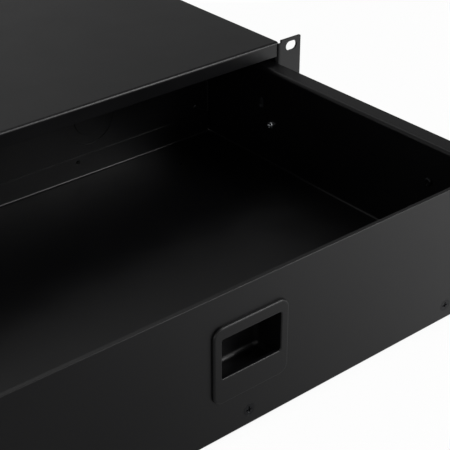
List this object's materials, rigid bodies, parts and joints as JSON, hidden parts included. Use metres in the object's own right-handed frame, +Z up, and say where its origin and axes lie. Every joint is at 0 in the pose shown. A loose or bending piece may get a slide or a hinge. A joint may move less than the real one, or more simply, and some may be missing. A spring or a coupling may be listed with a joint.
{
  "type": "rack drawer",
  "caption": "Rack-mount storage drawer on ball-bearing slides: folded steel case with slotted ears, plain front panel and a recessed moulded pull with a slam latch.",
  "frame": {"origin": "centre of the four rack slots, in the front plane of the rack ears", "axes": "+X to the right seen from the front, +Y towards the rear of the rack, +Z up"},
  "size_m": [0.4826, 0.5254, 0.0882],
  "materials": {
    "powder_coat": "satin black powder coat",
    "zinc_steel": "bright zinc-plated steel",
    "black_steel": "black oxide steel",
    "ball_steel": "polished bearing steel",
    "moulded_black": "fine-grained moulded ABS",
    "rubber_pad": "matt rubber",
    "spring_steel": "plated spring steel"
  },
  "bodies": {
    "case": {"top_cover": "powder_coat", "side_panel_right": "powder_coat", "side_panel_left": "powder_coat", "rear_tie_bar": "powder_coat", "tie_bar_rivets": "black_steel", "slide_rivets": "black_steel", "slide_outer_right": "zinc_steel", "slide_outer_left": "zinc_steel", "slide_buffers": "moulded_black"},
    "drawer": {"drawer_tray": "powder_coat", "back_panel": "powder_coat", "back_rivets": "black_steel", "front_panel": "powder_coat", "panel_screws": "black_steel", "clinch_nuts": "zinc_steel", "slide_screws_front": "black_steel", "slide_screws_rear": "zinc_steel", "panel_bumpers": "rubber_pad", "pull_housing": "moulded_black", "housing_screws": "zinc_steel", "latch_pin": "zinc_steel", "latch_springs": "spring_steel", "slide_inner_right": "zinc_steel", "slide_inner_left": "zinc_steel"},
    "latch_bolt": {"latch_bolt": "zinc_steel"},
    "latch_trigger": {"latch_trigger": "moulded_black"},
    "middle_member_right": {"slide_middle_right": "zinc_steel"},
    "outer_cage_right": {"ball_cage_outer_right": "zinc_steel", "balls_outer_right": "ball_steel"},
    "inner_cage_right": {"ball_cage_inner_right": "zinc_steel", "balls_inner_right": "ball_steel"},
    "middle_member_left": {"slide_middle_left": "zinc_steel"},
    "outer_cage_left": {"ball_cage_outer_left": "zinc_steel", "balls_outer_left": "ball_steel"},
    "inner_cage_left": {"ball_cage_inner_left": "zinc_steel", "balls_inner_left": "ball_steel"}
  },
  "joints": [
    {"name": "drawer_slide", "type": "slide", "parent": "case", "child": "drawer", "axis": [0, -1, 0], "range_m": [-0.22045, 0.02955]},
    {"name": "middle_member_right_travel", "type": "slide", "parent": "case", "child": "middle_member_right", "axis": [0, -1, 0], "range_m": [-0.11023, 0.01477]},
    {"name": "outer_cage_right_travel", "type": "slide", "parent": "case", "child": "outer_cage_right", "axis": [0, -1, 0], "range_m": [-0.05511, 0.00739]},
    {"name": "inner_cage_right_travel", "type": "slide", "parent": "case", "child": "inner_cage_right", "axis": [0, -1, 0], "range_m": [-0.16534, 0.02216]},
    {"name": "middle_member_left_travel", "type": "slide", "parent": "case", "child": "middle_member_left", "axis": [0, -1, 0], "range_m": [-0.11023, 0.01477]},
    {"name": "outer_cage_left_travel", "type": "slide", "parent": "case", "child": "outer_cage_left", "axis": [0, -1, 0], "range_m": [-0.05511, 0.00739]},
    {"name": "inner_cage_left_travel", "type": "slide", "parent": "case", "child": "inner_cage_left", "axis": [0, -1, 0], "range_m": [-0.16534, 0.02216]},
    {"name": "latch_bolt_slide", "type": "slide", "parent": "drawer", "child": "latch_bolt", "axis": [0, 0, -1], "range_m": [0, 0.0034], "stiffness_N_per_m": 600, "springref_m": -0.004, "deforming": ["latch_springs"]},
    {"name": "latch_trigger_turn", "type": "hinge", "parent": "drawer", "child": "latch_trigger", "pos_m": [0, -0.21765, 0.02195], "axis": [-1, 0, 0], "range_deg": [0, 19.68]}
  ],
  "couplings": [
    {"joint": "middle_member_right_travel", "follows": "drawer_slide", "ratio": 0.5},
    {"joint": "outer_cage_right_travel", "follows": "drawer_slide", "ratio": 0.25},
    {"joint": "inner_cage_right_travel", "follows": "drawer_slide", "ratio": 0.75},
    {"joint": "middle_member_left_travel", "follows": "drawer_slide", "ratio": 0.5},
    {"joint": "outer_cage_left_travel", "follows": "drawer_slide", "ratio": 0.25},
    {"joint": "inner_cage_left_travel", "follows": "drawer_slide", "ratio": 0.75},
    {"joint": "latch_trigger_turn", "follows": "latch_bolt_slide", "rad_per_m": 101.01}
  ]
}
